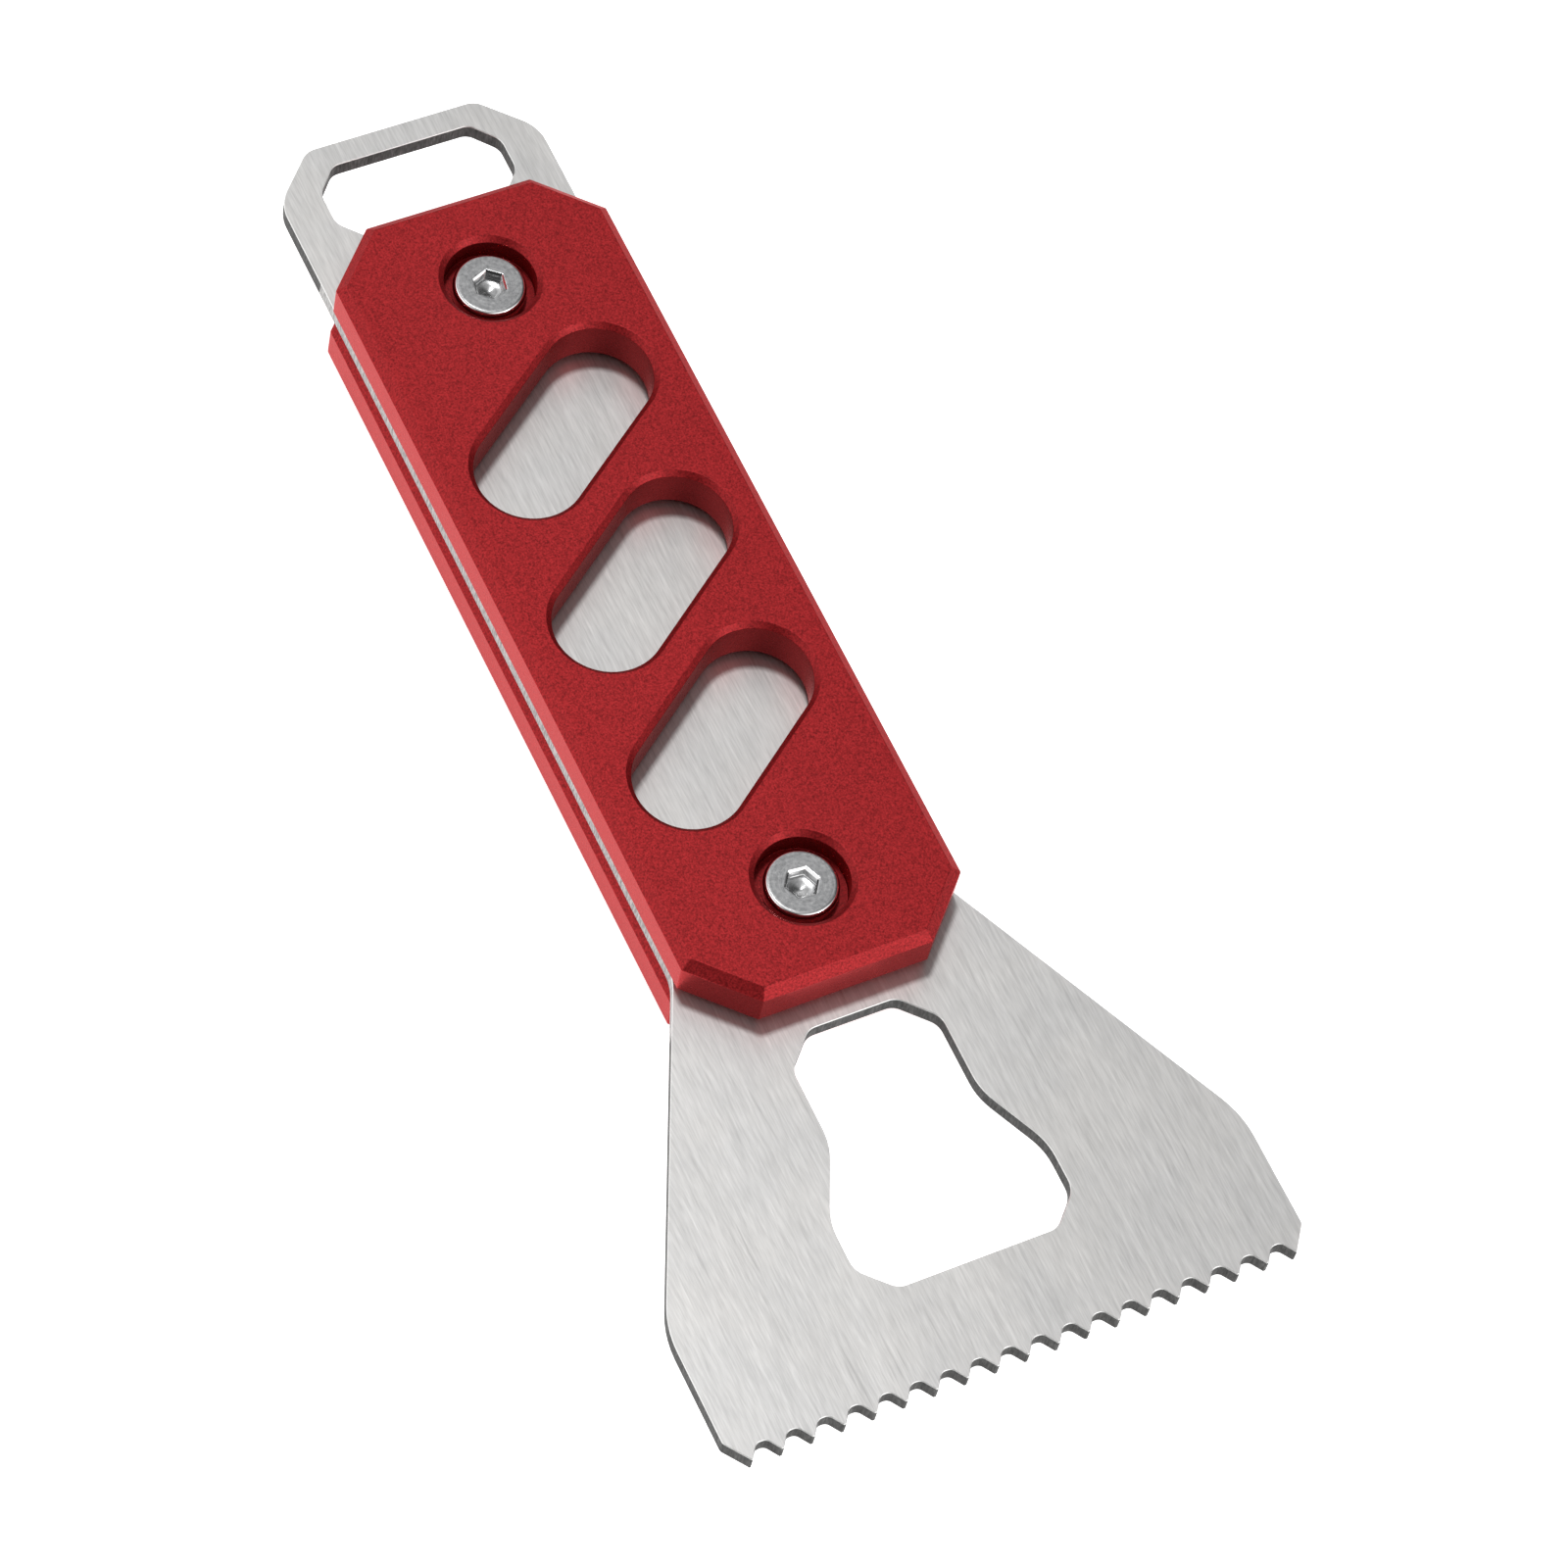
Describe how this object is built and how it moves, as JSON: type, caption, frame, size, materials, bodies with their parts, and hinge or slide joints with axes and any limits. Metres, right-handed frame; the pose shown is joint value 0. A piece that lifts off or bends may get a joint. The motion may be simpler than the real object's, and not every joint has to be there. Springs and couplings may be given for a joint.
{
  "type": "painters multi tool",
  "caption": "Pocket scraper: a flat steel blade with toothed edge, bell-shaped opener window and hang loop, clamped between two bevelled red handle scales with slanted windows.",
  "frame": {"origin": "middle of the tool's outline seen from above, on the face it lies on, which is the rear scale's outer face", "axes": "+X across the tool, +Y along the handle to the hang loop (the toothed edge is at -Y), +Z out of the front scale, through the thickness"},
  "size_m": [0.0666, 0.1616, 0.014],
  "materials": {
    "blade_steel": "brushed along the blade",
    "red_anodised": "bead-blasted and anodised red",
    "plated_screw": "bright nickel plate with a turned top face"
  },
  "bodies": {
    "handle_and_blade": {"blade": "blade_steel", "front_scale": "red_anodised", "rear_scale": "red_anodised"},
    "screw_blade_end": {"screw_blade_end": "plated_screw"},
    "screw_hang_end": {"screw_hang_end": "plated_screw"},
    "nut_blade_end": {"nut_blade_end": "plated_screw"},
    "nut_hang_end": {"nut_hang_end": "plated_screw"}
  },
  "joints": [
    {"name": "screw_blade_end_lift", "type": "slide", "parent": "handle_and_blade", "child": "screw_blade_end", "axis": [0, 0, 1], "range_m": [0, 0.0042]},
    {"name": "nut_blade_end_turn", "type": "hinge", "parent": "handle_and_blade", "child": "nut_blade_end", "pos_m": [0, -0.02535, 0.003], "axis": [0, 0, -1], "range_deg": [0, 2160]},
    {"name": "screw_hang_end_lift", "type": "slide", "parent": "handle_and_blade", "child": "screw_hang_end", "axis": [0, 0, 1], "range_m": [0, 0.0042]},
    {"name": "nut_hang_end_turn", "type": "hinge", "parent": "handle_and_blade", "child": "nut_hang_end", "pos_m": [0, 0.05465, 0.003], "axis": [0, 0, -1], "range_deg": [0, 2160]}
  ],
  "couplings": [
    {"joint": "nut_blade_end_turn", "follows": "screw_blade_end_lift", "rad_per_m": 8976},
    {"joint": "nut_hang_end_turn", "follows": "screw_hang_end_lift", "rad_per_m": 8976}
  ]
}
